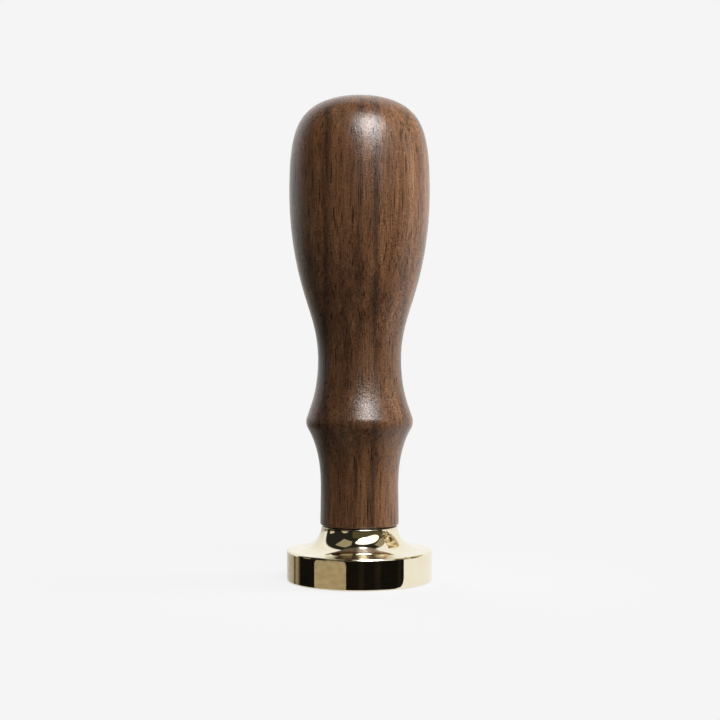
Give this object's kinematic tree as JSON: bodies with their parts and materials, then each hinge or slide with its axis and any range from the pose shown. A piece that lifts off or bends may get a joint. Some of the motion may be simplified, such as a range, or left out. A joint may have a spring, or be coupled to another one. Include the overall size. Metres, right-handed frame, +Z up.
{
  "type": "wax seal stamp",
  "caption": "Wax seal stamp: a turned wooden handle with a bead and a rounded grip, on a round engraved brass head that unscrews from it.",
  "frame": {"origin": "middle of the die face at the bottom, on which the stamp stands", "axes": "+Z up along the axis that the stamp is turned on, from the die to the top of the grip; -Y towards the viewer of the picture, +X to its right"},
  "size_m": [0.025, 0.025, 0.0834],
  "materials": {
    "walnut": "satin",
    "brass": "polished",
    "steel": "zinc plated",
    "nylon": "matte"
  },
  "bodies": {
    "seal_head": {"seal_head": "brass"},
    "washer": {"washer": "nylon"},
    "handle": {"handle": "walnut", "sleeve": "brass", "stud": "steel"}
  },
  "joints": [
    {"name": "handle_turn", "type": "hinge", "parent": "seal_head", "child": "washer", "pos_m": [0, 0, 0.00935], "axis": [0, 0, 1], "range_deg": [0, 2340]},
    {"name": "handle_lift", "type": "slide", "parent": "washer", "child": "handle", "axis": [0, 0, 1], "range_m": [0, 0.0066]}
  ],
  "couplings": [
    {"joint": "handle_lift", "follows": "handle_turn", "m_per_rad": 0.00015915}
  ]
}
